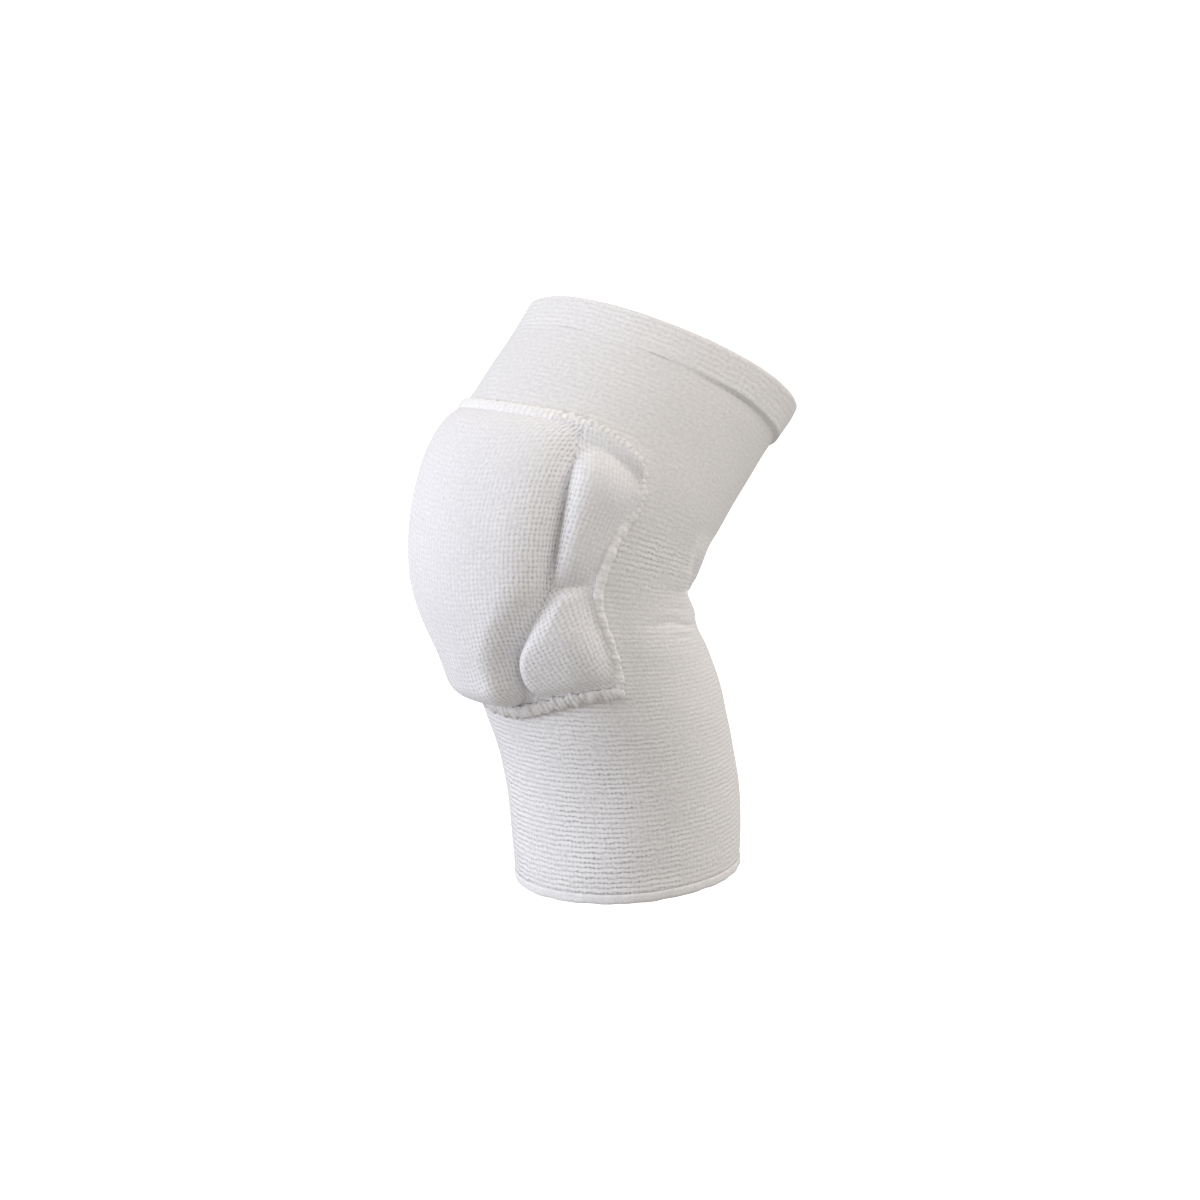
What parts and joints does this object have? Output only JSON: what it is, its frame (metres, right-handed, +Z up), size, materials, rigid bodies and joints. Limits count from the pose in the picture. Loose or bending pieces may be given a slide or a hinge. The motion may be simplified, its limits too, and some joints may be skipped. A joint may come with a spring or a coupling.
{
  "type": "volleyball knee pad",
  "caption": "Knitted tube knee pad bent as worn, with a thick foam centre pad, thinner side pads, stitched welts round them and hemmed openings for the thigh and calf.",
  "frame": {"origin": "middle of the knee, inside the sleeve, half way across its depth and width", "axes": "+Z up along the standing leg, -Y out through the kneecap pad, +X to the side; X = 0 is the plane of symmetry"},
  "size_m": [0.1294, 0.1902, 0.2727],
  "materials": {
    "knit_sleeve": "matte ribbed knit, white",
    "hems": "matte doubled knit, white",
    "pad_cover": "matte fine knit over foam, white",
    "seam_thread": "matte overlocked thread, white"
  },
  "bodies": {
    "root": {"knit_sleeve": "knit_sleeve", "thigh_hem": "hems", "calf_hem": "hems", "centre_pad": "pad_cover", "upper_side_pad_left": "pad_cover", "lower_side_pad_left": "pad_cover", "upper_side_pad_right": "pad_cover", "lower_side_pad_right": "pad_cover", "upper_pad_seam": "seam_thread", "lower_pad_seam": "seam_thread", "side_seam_left": "seam_thread", "side_seam_right": "seam_thread"}
  },
  "joints": []
}
